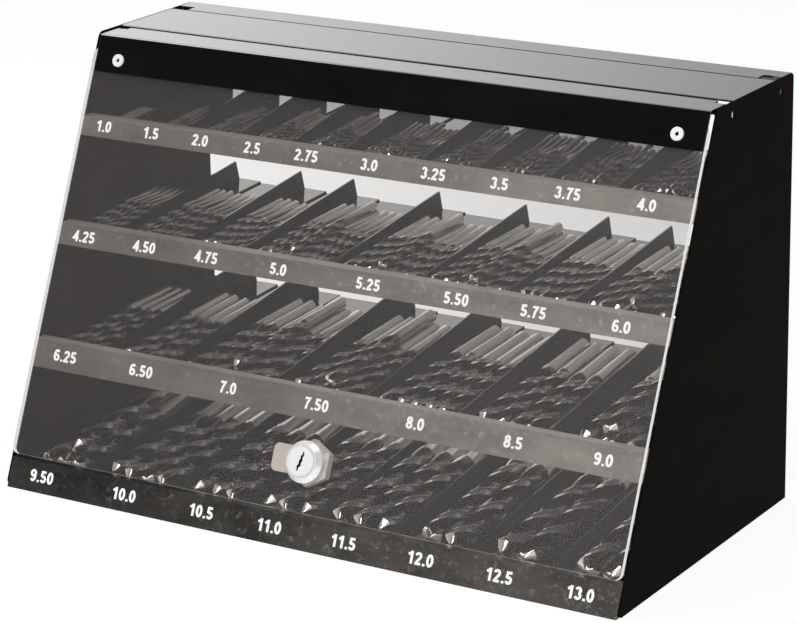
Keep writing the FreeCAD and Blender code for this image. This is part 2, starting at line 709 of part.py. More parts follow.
lock_cam = new_front_body("lock_cam")
cam_start = -(cell("cam_thick") + 6.4)
half_cam = cell("cam_width") / 2
disc_pad(lock_cam, "cam_hub", [(lock_side, lock_up, cell("cam_width"))], cam_start, cell("cam_thick"))
cam_tip = lock_side - cell("cam_reach")
profile_pad(lock_cam, "cam_arm", [
    (cam_tip, lock_up - half_cam + 2), (cam_tip + 2, lock_up - half_cam),
    (lock_side, lock_up - half_cam), (lock_side, lock_up + half_cam),
    (cam_tip + 2, lock_up + half_cam), (cam_tip, lock_up + half_cam - 2),
], cam_start, cell("cam_thick"), "XY_Plane")
profile_cut(lock_cam, "cam_square", post_square, cam_start - 1, cell("cam_thick") + 2,
            "XY_Plane")

lock_cam_screw = new_front_body("lock_cam_screw")
disc_pad(lock_cam_screw, "screw_head", [(lock_side, lock_up, 9.0)], cam_start - 2.2, 2.2)
disc_pad(lock_cam_screw, "screw_shank", [(lock_side, lock_up, 4.0)], cam_start - 1, 8)
profile_cut(lock_cam_screw, "screw_slot", [
    (lock_side - 5, lock_up - 0.6), (lock_side + 5, lock_up - 0.6),
    (lock_side + 5, lock_up + 0.6), (lock_side - 5, lock_up + 0.6),
], cam_start - 3.2, 2.0, "XY_Plane")

doc.recompute()

# ---------------------------------------------------------------------------- drill bits

POINT_ANGLE = math.radians(59)


def make_master_bit(label, diameter, length):
    """One bit along +Y from its point: a plain shank and a 118 degree point."""
    body = new_body(f"bit_{label}")
    radius = diameter / 2
    sketch = new_sketch(body, f"bit_{label}_outline", "XY_Plane")
    draw_outline(sketch, [
        (0, 0), (radius, radius / math.tan(POINT_ANGLE)), (radius, length - radius * 0.1),
        (radius * 0.9, length), (0, length),
    ])
    turned = body.newObject("PartDesign::Revolution", f"bit_{label}_turned")
    turned.Profile = sketch
    turned.ReferenceAxis = (sketch, ["V_Axis"])
    turned.Angle = 360
    body.Tip = turned
    return body


def place_bits(row, index, diameter, length, lower, upper):
    """Where the bits of one compartment lie: a layer on the floor, and some in its valleys."""
    wall, floor = [size.value for size in floor_of(row)[:2]]
    sheet = SIZES["sheet"]
    rise = SIZES["tray_rise"]
    walls = [sheet - 0.5] + DIVIDERS[row] + [2 * SIZES["half_width"] - sheet + 0.5]
    left = walls[index] - SIZES["half_width"] + 0.8
    right = walls[index + 1] - SIZES["half_width"] - 0.8
    foot_end = left + SIZES["divider_foot"] if index else left - 10
    radius = diameter / 2
    turn = (0.4, 2.2, 3.0, 0.8, 2.6, 1.2, 1.8)[(index + row) % 7]
    slip = math.tan(math.radians(turn))
    swing = length * abs(slip)
    room = right - left - swing - diameter - 0.6
    closest = diameter + SIZES["bit_gap"]
    spread = closest * (1.0 + 0.05 * (index % 3))
    if lower > 1:
        spread = max(closest, min(room / (lower - 1), spread))
    share = (0.5, 0.35, 0.62, 0.45)[(index * 2 + row) % 4]
    spare = max(room - spread * (lower - 1), 0)
    start = left + radius + 0.3 + (swing if turn > 0 else 0) + spare * share
    # A bit that reaches over the edge of the divider's foot rests on the foot.
    reach = math.sqrt(diameter * sheet) + 0.3
    centres = []
    for seat in range(lower):
        x = start + spread * seat
        leftmost = x - reach - (swing if turn > 0 else 0)
        centres.append((x, radius + 0.06 + (sheet if leftmost < foot_end else 0.0)))
    # The upper bits lie in the valleys between two of the lower ones.
    first = (lower - upper) // 2
    for seat in range(first, first + upper):
        (x1, z1), (x2, z2) = centres[seat], centres[seat + 1]
        if abs(z1 - z2) > 0.1:
            continue
        apart = math.hypot(x2 - x1, z2 - z1)
        up = math.sqrt((diameter + 0.1) ** 2 - (apart / 2) ** 2)
        centres.append(((x1 + x2) / 2 - up * (z2 - z1) / apart,
                        (z1 + z2) / 2 + up * (x2 - x1) / apart))
    placements = []
    slant = FreeCAD.Rotation(FreeCAD.Vector(1, 0, 0), math.degrees(math.atan(rise)))
    yaw = FreeCAD.Rotation(FreeCAD.Vector(0, 0, 1), turn)
    for number, (x, lift) in enumerate(centres):
        shift = 0.25 + 1.7 * ((number * 5 + index * 3) % 4) / 4
        if number >= lower:
            shift += 5.5 if row == 4 else 1.5
        spot = FreeCAD.Vector(x - shift * slip, wall + sheet + shift, floor + shift * rise + lift)
        placements.append(FreeCAD.Placement(spot, yaw.multiply(slant)))
    return placements


def bit_label(diameter):
    return f"{diameter:.2f}".replace(".", "_")


bit_groups = {}
for row, sizes_of_row in BITS.items():
    for index, (diameter, length, lower, upper) in enumerate(sizes_of_row):
        label = bit_label(diameter)
        master = make_master_bit(label, diameter, length)
        bit_groups[label] = (master, place_bits(row, index, diameter, length, lower, upper))
doc.recompute()

# The bits lie loose at uneven places, which neither a pattern nor an array can follow, so each
# size is one feature of placed copies of its own master bit.
nodes = {}
for label, (master, placements) in bit_groups.items():
    copies = []
    for placement in placements:
        copy = master.Shape.copy()
        copy.Placement = placement
        copies.append(copy.Solids[0])
    group = doc.addObject("Part::Feature", f"bits_{label}")
    group.Shape = Part.makeCompound(copies)
    nodes[f"bits_{label}"] = group

# ---------------------------------------------------------------------------- hand over

nodes.update({
    "side_panel_left": side_panel_left,
    "side_panel_right": side_panel_right,
    "base_pan": base_pan,
    "top_panel": top_panel,
    "rear_top_rail": rear_top_rail,
    "rear_rail_rivets": rear_rail_rivets,
    "lid_fascia": fascia_drilled,
    "lid_pane": lid_pane,
    "lid_pane_rivets": lid_pane_rivets,
    "lid_pivot_rivets": lid_pivot_rivets,
    "lock_body": lock_body,
    "lock_nut": lock_nut,
    "lock_plug": lock_plug,
    "lock_cam": lock_cam,
    "lock_cam_screw": lock_cam_screw,
})
for row, (tray, row_dividers) in enumerate(zip(trays, dividers), start=1):
    nodes[f"tray_{row}"] = tray
    nodes[f"dividers_row_{row}"] = row_dividers

faults = []
for item in doc.Objects:
    if "Invalid" in item.State or "Error" in item.State:
        faults.append(f"{item.Name}: state {item.State}")
    if hasattr(item, "Shape") and not item.isDerivedFrom("App::OriginFeature"):
        if item.isDerivedFrom("Sketcher::SketchObject") or item.TypeId.startswith("App::"):
            continue
        if item.Shape.isNull() or not item.Shape.isValid():
            faults.append(f"{item.Name}: shape is null or not valid")
for fault in faults:
    print("FAULT", fault)
if faults:
    raise RuntimeError(f"{len(faults)} objects are not sound")

for name, item in sorted(nodes.items()):
    item.Shape.exportStep(f"parts/{name}.step")
    print(name, len(item.Shape.Solids), "solids", round(item.Shape.Volume, 1), "mm3")
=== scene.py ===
"""Looks of the drill bit display case: materials, fluted bits, printed sizes, light and camera."""
import math
import random

import bpy
import numpy as np
from mathutils import Matrix, Vector


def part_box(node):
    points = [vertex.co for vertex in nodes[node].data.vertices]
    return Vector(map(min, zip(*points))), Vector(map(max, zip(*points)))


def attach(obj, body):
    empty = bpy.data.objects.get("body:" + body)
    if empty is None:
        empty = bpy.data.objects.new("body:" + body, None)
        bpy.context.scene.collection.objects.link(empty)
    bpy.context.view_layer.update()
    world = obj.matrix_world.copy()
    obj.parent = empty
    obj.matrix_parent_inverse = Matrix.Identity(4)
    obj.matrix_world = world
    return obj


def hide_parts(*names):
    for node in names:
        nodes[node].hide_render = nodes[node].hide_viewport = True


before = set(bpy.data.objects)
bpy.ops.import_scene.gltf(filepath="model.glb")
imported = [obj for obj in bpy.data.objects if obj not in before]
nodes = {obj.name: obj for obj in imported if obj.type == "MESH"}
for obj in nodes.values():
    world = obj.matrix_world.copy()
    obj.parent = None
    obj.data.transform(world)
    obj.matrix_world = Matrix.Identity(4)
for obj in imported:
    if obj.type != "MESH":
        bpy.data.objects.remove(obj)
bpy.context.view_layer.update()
random.seed(7)

MM = 0.001
HALF_WIDTH = 0.190                   # of the case
FOOT_Y = -0.0963                     # where the sloping front meets the floor
RUN, HEIGHT = 0.1034, 0.2345         # the slope's run back over the case's height
LENGTH = math.hypot(RUN, HEIGHT)
UP_SLOPE = Vector((0, RUN / LENGTH, HEIGHT / LENGTH))
OUT = Vector((0, -HEIGHT / LENGTH, RUN / LENGTH))


# ------------------------------------------------------------------ materials

class Nodes:
    """A small helper for building the node tree of a material or of the world."""

    def __init__(self, owner, output="OutputMaterial"):
        self.owner = owner
        owner.use_nodes = True
        self.tree = owner.node_tree
        self.tree.nodes.clear()
        self.out = self.add(output)

    def add(self, kind, **settings):
        """A new node. A setting is one of its inputs, with _ for a space, or else an option."""
        node = self.tree.nodes.new("ShaderNode" + kind)
        for key, value in settings.items():
            socket = key.replace("_", " ")
            if socket in node.inputs:
                node.inputs[socket].default_value = value
            else:
                setattr(node, key, value)
        return node

    def link(self, output, socket):
        self.tree.links.new(output, socket)

    def shader(self, **values):
        """A principled shader, with inputs named as in add."""
        return self.add("BsdfPrincipled", **values)

    def object_coords(self, scale=(1, 1, 1)):
        """The place on the object, scaled along X, Y and Z."""
        coords = self.add("TexCoord")
        mapping = self.add("Mapping", Scale=scale)
        self.link(coords.outputs["Object"], mapping.inputs["Vector"])
        return mapping.outputs["Vector"]

    def noise(self, vector, scale, detail=3.0, roughness=0.6):
        """Fractal noise. The scale is its cells to a metre."""
        node = self.add("TexNoise", Scale=scale, Detail=detail, Roughness=roughness)
        self.link(vector, node.inputs["Vector"])
        return node.outputs["Fac"]

    def ramp(self, source, low, high):
        """A colour ramp between two stops, each of them a place and a colour."""
        node = self.add("ValToRGB")
        for element, (place, colour) in zip(node.color_ramp.elements, (low, high)):
            element.position, element.color = place, colour
        self.link(source, node.inputs["Fac"])
        return node.outputs["Color"]

    def rescale(self, source, start, stop, low, high, smooth=False):
        """A value that goes from low to high while the source goes from start to stop."""
        node = self.add("MapRange", From_Min=start, From_Max=stop, To_Min=low, To_Max=high,
                        interpolation_type="SMOOTHSTEP" if smooth else "LINEAR")
        self.link(source, node.inputs["Value"])
        return node.outputs["Result"]

    def spread(self, source, low, high):
        """A value from low to high, for a source from 0 to 1."""
        return self.rescale(source, start=0.0, stop=1.0, low=low, high=high)

    def bump(self, height, strength, distance, soft_edge):
        """A bumped normal, on edges that look rounded to the given radius."""
        edge = self.add("Bevel", samples=4, Radius=soft_edge)
        node = self.add("Bump", Strength=strength, Distance=distance)
        self.link(height, node.inputs["Height"])
        self.link(edge.outputs["Normal"], node.inputs["Normal"])
        return node.outputs["Normal"]

    def along(self, direction, output="Normal"):
        """How far the surface's normal, or its position, lies along a direction."""
        coords = self.add("TexCoord")
        dot = self.add("VectorMath", operation="DOT_PRODUCT")
        dot.inputs[1].default_value = direction
        self.link(coords.outputs[output], dot.inputs[0])
        return dot.outputs["Value"]

    def where(self, value, comparison, limit):
        """1 where the value passes the comparison with the limit, 0 elsewhere."""
        test = self.add("Math", operation=comparison)
        test.inputs[1].default_value = limit
        self.link(value, test.inputs[0])
        return test.outputs[0]

    def combine(self, operation, first, second):
        """The result of a Math operation on two values."""
        node = self.add("Math", operation=operation)
        self.link(first, node.inputs[0])
        self.link(second, node.inputs[1])
        return node.outputs[0]

    def by_side(self, colour, left, right):
        """A colour or value scaled by place, from the case's left side to its right."""
        share = self.rescale(self.along((1, 0, 0), "Object"), start=-HALF_WIDTH,
                             stop=HALF_WIDTH, low=left, high=right, smooth=True)
        scaled = self.add("VectorMath", operation="SCALE")
        self.link(colour, scaled.inputs[0])
        self.link(share, scaled.inputs["Scale"])
        return scaled.outputs[0]

    def blend(self, share, first, second):
        """The first shader where the share is 0, the second where it is 1."""
        mix = self.add("MixShader")
        self.link(share, mix.inputs[0])
        self.link(first, mix.inputs[1])
        self.link(second, mix.inputs[2])
        return mix.outputs[0]

    def finish(self, surface):
        """Makes a shader the surface of the material or world, and gives that back."""
        self.link(surface, self.out.inputs["Surface"])
        return self.owner


def material_nodes(name):
    """The empty node tree of a new material."""
    return Nodes(bpy.data.materials.new(name))


def distance_out(point):
    """How far a point lies along the sloping front's normal from the world's origin."""
    return Vector(point).dot(OUT)


def grey(value, warm=0.0):
    """A grey, whose red is more and whose blue is less by the share that it is warm."""
    return (value * (1 + warm), value, value * (1 - warm), 1)


FRONT_PLANE = distance_out((0, FOOT_Y, 0))
RAIL_FOLDS = FRONT_PLANE - 0.0076    # the folds of the rails lie in front of this, and get a painted highlight
RIVET_BORE = FRONT_PLANE + 0.0040    # the acrylic's rivets: bore behind this, painted shade there, flange in front
PIVOT_Y = 0.5 * (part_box("lid_pivot_rivets")[0][1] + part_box("lid_pivot_rivets")[1][1])
PIVOT_SHADE = PIVOT_Y - 0.0004       # behind this the ends of the pivot rivets get painted shade

# How squarely a face has to look out of the slope, or up, to count as a front or as a top.
SQUARE_FRONT, SHEET_FACE, TOP_FACE = 0.97, 0.6, 0.7

# Paint: how fine its smears, its orange peel and its specks are, in cells to a metre.
SMEARS, PEEL, SPECKS = 22.0, 700.0, 300.0
PEEL_HEIGHT, SOFT_EDGE = 0.00002, 0.0004
PAINT_IOR, COAT_ROUGHNESS = 1.5, 0.03
ACRYLIC_IOR = 1.49


def enamel_coat(n, dark, light, rough, specular, speck=0.0, clear=0.0, peel=0.04, dusty=1.0,
                warm=0.09, lustre=1.5):
    """Black paint on sheet steel: faint orange peel, with smears and specks of dust.

    It goes from dark to light in its smears, with a warm tone, and is painted lighter toward the
    case's right end, by the factor given for that end: painted light. speck is how light the
    specks are. clear is the weight of the clear coat, and lustre its index of refraction.
    """
    vector = n.object_coords()
    smears = n.noise(n.object_coords((1, 1, 2.5)), SMEARS, detail=5.0, roughness=0.65)
    fine = n.noise(vector, PEEL, detail=2.0, roughness=0.5)
    colour = n.ramp(smears, (0.36, grey(dark, warm)), (0.66, grey(light, warm)))
    shader = n.shader(Specular_IOR_Level=specular, IOR=PAINT_IOR, Coat_Weight=clear,
                      Coat_Roughness=COAT_ROUGHNESS, Coat_IOR=lustre)
    if speck:
        spots = n.noise(vector, SPECKS, detail=5.0, roughness=0.75)
        mix = n.add("MixRGB", Color2=grey(speck, warm=0.04))
        n.link(n.ramp(spots, (0.55, grey(0)), (0.72, grey(1))), mix.inputs["Fac"])
        n.link(colour, mix.inputs["Color1"])
        colour = mix.outputs["Color"]
    # painted light: the colour is made lighter toward the case's right end
    if dusty != 1.0:
        colour = n.by_side(colour, left=1.0, right=dusty)
    n.link(colour, shader.inputs["Base Color"])
    n.link(n.spread(smears, low=rough * 0.7, high=rough * 1.35), shader.inputs["Roughness"])
    n.link(n.bump(fine, peel, PEEL_HEIGHT, SOFT_EDGE), shader.inputs["Normal"])
    return shader.outputs[0]


def enamel(name, **coat):
    """A material of one coat of paint, as enamel_coat makes it."""
    n = material_nodes(name)
    return n.finish(enamel_coat(n, **coat))


def tray_enamel(name, gloss, face, painted_highlight_fold):
    """A tray: mirror-like floor and flange, and a rail dulled by handling, whose folds have
    lighter paint as a painted highlight.
    """
    n = material_nodes(name)
    # In front of the folds' plane, faces that don't look straight out take the lighter fold paint:
    # a painted highlight, with real dust specks.
    in_front = n.where(n.along(OUT, "Object"), "GREATER_THAN", RAIL_FOLDS)
    edge = n.blend(in_front, enamel_coat(n, **gloss), enamel_coat(n, **painted_highlight_fold))
    square = n.where(n.along(OUT), "GREATER_THAN", SQUARE_FRONT)
    return n.finish(n.blend(square, edge, enamel_coat(n, **face)))


def two_sided_enamel(name, dull, gloss):
    """Paint that is glossy on the faces that lie upward, and dull elsewhere."""
    n = material_nodes(name)
    upward = n.where(n.along((0, 0, 1)), "GREATER_THAN", TOP_FACE)
    return n.finish(n.blend(upward, enamel_coat(n, **dull), enamel_coat(n, **gloss)))


def metal(name, colour, rough, spread=0.3, stretch=(1, 1, 1), scale=300.0, metallic=1.0):
    """Bare metal whose colour and gloss vary in fine streaks."""
    n = material_nodes(name)
    streaks = n.noise(n.object_coords(stretch), scale)
    shader = n.shader(Metallic=metallic)
    low = [c * (1 - spread * 0.5) for c in colour]
    n.link(n.ramp(streaks, (0.3, (*low, 1)), (0.7, (*colour, 1))), shader.inputs["Base Color"])
    n.link(n.spread(streaks, low=rough * (1 - spread), high=rough * (1 + spread)),
           shader.inputs["Roughness"])
    return n.finish(shader.outputs[0])


def metal_with_painted_shade(name, direction, limit, comparison="LESS_THAN"):
    """Pale aluminium with painted shade: near black on one side of a place along a direction, for
    the shade inside a bore or slot.
    """
    n = material_nodes(name)
    grain = n.noise(n.object_coords(), scale=900.0)
    pale = n.shader(Metallic=0.25)
    n.link(n.ramp(grain, (0.3, grey(0.93)), (0.7, grey(0.99))), pale.inputs["Base Color"])
    n.link(n.spread(grain, low=0.30, high=0.45), pale.inputs["Roughness"])
    shade = n.shader(Base_Color=grey(0.01), Specular_IOR_Level=0.1)
    n.link(n.spread(grain, low=0.5, high=0.8), shade.inputs["Roughness"])
    # painted shade: near black on one side of the limit
    inside = n.where(n.along(direction, "Object"), comparison, limit)
    return n.finish(n.blend(inside, pale.outputs[0], shade.outputs[0]))


def acrylic():
    """Clear acrylic sheet: nearly see-through faces with a faint haze, painted stronger toward the
    right end, and pale sawn edges that glow as painted light.
    """
    n = material_nodes("acrylic_sheet")
    patches = n.noise(n.object_coords(), scale=9.0, detail=4.0)
    clear = n.add("BsdfTransparent", Color=(0.975, 0.97, 0.965, 1))
    veil = n.shader(Base_Color=(0.80, 0.76, 0.74, 1), Roughness=0.06, IOR=ACRYLIC_IOR)
    # painted light: the haze is made 1.2 times as strong at the case's right end
    haze = n.by_side(n.spread(patches, low=0.029, high=0.038), left=1.0, right=1.2)
    face = n.blend(haze, clear.outputs[0], veil.outputs[0])
    # painted light: the sawn edges glow with their own emission
    edge = n.shader(Base_Color=grey(0.93), Roughness=0.25, IOR=ACRYLIC_IOR,
                    Emission_Color=grey(1), Emission_Strength=0.25)
    squareness = n.add("Math", operation="ABSOLUTE")
    n.link(n.along(OUT), squareness.inputs[0])
    on_edge = n.where(squareness.outputs[0], "LESS_THAN", SHEET_FACE)
    n.owner.cycles.emission_sampling = "NONE"
    return n.finish(n.blend(on_edge, face, edge.outputs[0]))


def print_white():
    """White ink, slightly worn."""
    n = material_nodes("white_print")
    worn = n.noise(n.object_coords(), scale=700.0)
    shader = n.shader(Specular_IOR_Level=0.3)
    n.link(n.ramp(worn, (0.25, grey(0.94)), (0.50, grey(1))), shader.inputs["Base Color"])
    n.link(n.spread(worn, low=0.35, high=0.55), shader.inputs["Roughness"])
    return n.finish(shader.outputs[0])


OUTER_GLOSS = dict(dark=0.0045, light=0.0075, rough=0.06, specular=1.0, clear=1.0)
INNER_GLOSS = dict(dark=0.0050, light=0.0080, rough=0.07, specular=1.0, clear=0.6)

gloss_black = enamel("black_enamel", **OUTER_GLOSS)
side_black = enamel("black_enamel_side", dark=0.0034, light=0.0060, rough=0.35, specular=0.004,
                    warm=0.30)
band_black = two_sided_enamel(
    "black_enamel_band",
    dull=dict(dark=0.0038, light=0.0058, rough=0.12, specular=0.20),
    gloss=dict(OUTER_GLOSS, lustre=1.9))
lip_black = enamel("black_enamel_lip", dark=0.018, light=0.039, rough=0.30, specular=0.25,
                   speck=0.095, dusty=2.4)
divider_black = two_sided_enamel(
    "black_enamel_divider",
    dull=dict(dark=0.0070, light=0.0110, rough=0.40, specular=0.05, peel=0.02, dusty=3.0),
    gloss=INNER_GLOSS)
tray_black = tray_enamel(
    "black_enamel_tray",
    gloss=dict(INNER_GLOSS, peel=0.015),
    face=dict(dark=0.076, light=0.122, rough=0.34, specular=0.35, speck=0.200, dusty=1.85),
    painted_highlight_fold=dict(dark=0.170, light=0.250, rough=0.40, specular=0.35, speck=0.300, dusty=1.45))
clear_sheet = acrylic()
white_print = print_white()
chrome = metal("chrome", (0.97, 0.97, 0.96), 0.30, spread=0.1, metallic=0.35)
nickel = metal("nickel_plate", (0.95, 0.88, 0.80), 0.24, spread=0.1, metallic=0.45)
pane_rivet = metal_with_painted_shade("rivet_flange", OUT, RIVET_BORE)
pivot_rivet = metal_with_painted_shade("rivet_end", (0, 1, 0), PIVOT_SHADE, "GREATER_THAN")
rail_rivet = metal("rivet_shaded", (0.05, 0.05, 0.05), 0.5)
shank_steel = metal("bit_steel", (0.68, 0.66, 0.64), 0.24, stretch=(1, 0.08, 1), scale=500.0,
                    metallic=0.72)
land_steel = metal("bit_lands", (0.60, 0.58, 0.56), 0.14, spread=0.1, scale=200.0,
                   metallic=0.85)
# Painted shade and highlight: the flutes' steel is darker than the lands' and the points' steel
# paler, though all are one steel.
flute_steel_painted_shade = metal("bit_flutes", (0.36, 0.345, 0.33), 0.12, spread=0.1, scale=200.0)
point_steel_painted_highlight = metal("bit_points", (0.93, 0.91, 0.88), 0.16, spread=0.1, metallic=0.7)

KEY_SLOT = 0.0003                    # deeper than this under the plug's face the keyway gets painted shade
plug_front = max(distance_out(v.co) for v in nodes["lock_plug"].data.vertices)
plug_metal = metal_with_painted_shade("chrome_plug", OUT, plug_front - KEY_SLOT)

FINISHES = {
    "side_panel_left": side_black,
    "side_panel_right": side_black,
    "top_panel": gloss_black,
    "rear_top_rail": gloss_black,
    "lid_fascia": band_black,
    "base_pan": lip_black,
    "lid_pane": clear_sheet,
    "lid_pane_rivets": pane_rivet,
    "lid_pivot_rivets": pivot_rivet,
    "rear_rail_rivets": rail_rivet,
    "lock_body": chrome,
    "lock_plug": plug_metal,
    "lock_nut": nickel,
    "lock_cam": nickel,
    "lock_cam_screw": nickel,
}
for row in (1, 2, 3, 4):
    FINISHES[f"tray_{row}"] = tray_black
    FINISHES[f"dividers_row_{row}"] = divider_black

for name, material in FINISHES.items():
    slots = nodes[name].data.materials
    slots.clear()
    slots.append(material)


# ------------------------------------------------------------------ fluted bits
# Lengths are in millimetres until a bit's mesh is finished.

FLUTE_LENGTH = {
    1.0: 12, 1.5: 18, 2.0: 24, 2.5: 30, 2.75: 33, 3.0: 33, 3.25: 36, 3.5: 39, 3.75: 39, 4.0: 43,
    4.25: 43, 4.5: 47, 4.75: 47, 5.0: 52, 5.25: 52, 5.5: 57, 5.75: 57, 6.0: 57, 6.25: 63, 6.5: 63,
    7.0: 69, 7.5: 69, 8.0: 75, 8.5: 75, 9.0: 81, 9.5: 81, 10.0: 87, 10.5: 87, 11.0: 94, 11.5: 94,
    12.0: 101, 12.5: 101, 13.0: 101,
}
# One half of the cross-section: angle round from the cutting edge, radius as a share.
HALF_SECTION = [(0, 1.0), (9, 1.0), (12, 0.955), (34, 0.955), (58, 0.955), (72, 0.80), (92, 0.56),
                (116, 0.40), (140, 0.36), (158, 0.46), (170, 0.68), (177, 0.88)]
LAND_CORNERS = 4                     # the land's sides are those that start at its first four
SECTION = [(a + 180 * half, r) for half in (0, 1) for a, r in HALF_SECTION]

SLIMMER = 0.985                      # keeps the fluted bit inside the plain one
HELIX_LEAD = 5.4                     # length of one turn, in diameters
RINGS_PER_TURN = 15
HALF_POINT_ANGLE = math.radians(59)
POINT_RINGS = (0.22, 0.6, 1, 1.02)   # as shares of the point's length
FLUTE_RUN_OUT = 1.6                  # where the flutes fade into the shank, in diameters
RUN_OUT_STEP = 0.01                  # a thin ring, so that the shank is shaded straight
CHAMFER, CHAMFER_SHARE = 0.04, 0.93  # length in diameters, and radius left at the end
CREASE = math.radians(38)            # edges sharper than this aren't shaded smooth
END_DEPTH = 0.0004                   # points this near to the far end belong to it, in metres
SAME_POINT_DIGITS = 7                # of a metre, to which the points of one place agree
FLUTE, SHANK, POINT, LAND = range(4)
BIT_STEELS = (flute_steel_painted_shade, shank_steel, point_steel_painted_highlight, land_steel)


def islands(mesh):
    """The points of a mesh, as one list for each part that isn't joined to the others."""
    parent = list(range(len(mesh.vertices)))

    def root(i):
        while parent[i] != i:
            parent[i] = parent[parent[i]]
            i = parent[i]
        return i

    for edge in mesh.edges:
        a, b = root(edge.vertices[0]), root(edge.vertices[1])
        parent[a] = b
    seen = {}
    for i, vertex in enumerate(mesh.vertices):
        key = tuple(round(c, SAME_POINT_DIGITS) for c in vertex.co)
        if key in seen:
            parent[root(i)] = root(seen[key])
        else:
            seen[key] = i
    groups = {}
    for i in range(len(mesh.vertices)):
        groups.setdefault(root(i), []).append(mesh.vertices[i].co.copy())
    return list(groups.values())


def bit_mesh(diameter, length, twist_start):
    """One twist drill along +Z, tip at the origin: points in metres, faces, and their steels."""
    radius = diameter / 2 * SLIMMER
    flute = FLUTE_LENGTH[diameter]
    lead = HELIX_LEAD * diameter
    point = radius / math.tan(HALF_POINT_ANGLE)
    rings = [point * share for share in POINT_RINGS]
    step = lead / RINGS_PER_TURN
    while rings[-1] + step < flute:
        rings.append(rings[-1] + step)
    fade_from = flute - FLUTE_RUN_OUT * diameter
    rings += [flute, flute + RUN_OUT_STEP, length - CHAMFER * diameter, length]
    points = [(0.0, 0.0, 0.0)]
    for s in rings:
        fade = min(1.0, max(0.0, (s - fade_from) / (flute - fade_from)))
        turn = twist_start + 2 * math.pi * s / lead
        cone = radius * min(1.0, s / point)
        for angle, r in SECTION:
            reach = radius * (r + (1 - r) * fade)
            if s >= length:
                reach *= CHAMFER_SHARE
            reach = min(reach, cone)
            at = math.radians(angle) + turn
            points.append((reach * math.cos(at), reach * math.sin(at), s))
    faces, steels = [], []
    count = len(SECTION)
    on_land = [i % len(HALF_SECTION) < LAND_CORNERS for i in range(count)]
    for i in range(count):
        faces.append((0, 1 + (i + 1) % count, 1 + i))
        steels.append(POINT if on_land[i] else FLUTE)
    for ring in range(len(rings) - 1):
        a, b = 1 + ring * count, 1 + (ring + 1) * count
        for i in range(count):
            j = (i + 1) % count
            faces.append((a + i, a + j, b + j, b + i))
            if rings[ring] >= flute:
                steels.append(SHANK)
            elif on_land[i]:
                steels.append(POINT if rings[ring] < point else LAND)
            else:
                steels.append(FLUTE)
    last = 1 + (len(rings) - 1) * count
    faces.append(tuple(last + i for i in range(count)))
    steels.append(SHANK)
    return np.array(points) * MM, faces, steels


def make_bits(node_name):
    """Fluted drills in the place of a node's plain ones, as one piece."""
    diameter = float(node_name.removeprefix("bits_").replace("_", "."))
    all_points, all_faces, all_steels = [], [], []
    for group in islands(nodes[node_name].data):
        co = np.array(group)
        tip = co[co[:, 1].argmin()]
        axis = co.mean(0) - tip
        axis /= np.linalg.norm(axis)
        along = (co - tip) @ axis
        # The end face's middle gives a truer axis than the mean of all the points.
        end = co[along > along.max() - END_DEPTH].mean(0)
        axis = (end - tip) / np.linalg.norm(end - tip)
        length = float(((co - tip) @ axis).max()) / MM
        points, faces, steels = bit_mesh(diameter, length, random.uniform(0, math.pi))
        turn = Vector((0, 0, 1)).rotation_difference(Vector(axis)).to_matrix()
        offset = sum(len(p) for p in all_points)
        all_points.append(points @ np.array(turn).T + tip)
        all_faces += [tuple(i + offset for i in face) for face in faces]
        all_steels += steels
    mesh = bpy.data.meshes.new(node_name + "_fluted")
    mesh.from_pydata(np.concatenate(all_points).tolist(), [], all_faces)
    for material in BIT_STEELS:
        mesh.materials.append(material)
    mesh.polygons.foreach_set("material_index", all_steels)
    mesh.polygons.foreach_set("use_smooth", [True] * len(mesh.polygons))
    mesh.update()
    mesh.set_sharp_from_angle(angle=CREASE)
    piece = bpy.data.objects.new(node_name + "_fluted", mesh)
    bpy.context.scene.collection.objects.link(piece)
    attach(piece, "case")
    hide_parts(node_name)


for name in sorted(nodes):
    if name.startswith("bits_"):
        make_bits(name)


# ------------------------------------------------------------------ printed sizes

# Each row: height of its middle, cap height, and each size with its place from the left, in mm.
LABELS = [
    (187.0, 6.2, [(16.1, "1.0"), (48.0, "1.5"), (80.7, "2.0"), (114.7, "2.5"), (149.3, "2.75"),
                  (188.7, "3.0"), (227.8, "3.25"), (267.3, "3.5"), (307.0, "3.75"),
                  (351.9, "4.0")]),
    (130.4, 6.2, [(17.9, "4.25"), (58.8, "4.50"), (99.8, "4.75"), (146.2, "5.0"), (202.4, "5.25"),
                  (255.7, "5.50"), (300.9, "5.75"), (351.0, "6.0")]),
    (69.6, 6.4, [(21.7, "6.25"), (73.0, "6.50"), (130.0, "7.0"), (185.9, "7.50"), (246.4, "8.0"),
                 (304.1, "8.5"), (355.5, "9.0")]),
    (8.3, 6.6, [(22.6, "9.50"), (78.2, "10.0"), (128.9, "10.5"), (172.3, "11.0"), (218.3, "11.5"),
                (264.9, "12.0"), (311.0, "12.5"), (357.3, "13.0")]),
]


def arc(x, y, wide, high, start, stop, steps=12):
    """Points on part of an ellipse, angles in degrees, anticlockwise positive."""
    turns = [math.radians(start + (stop - start) * i / steps) for i in range(steps + 1)]
    return [(x + wide * math.cos(t), y + high * math.sin(t)) for t in turns]


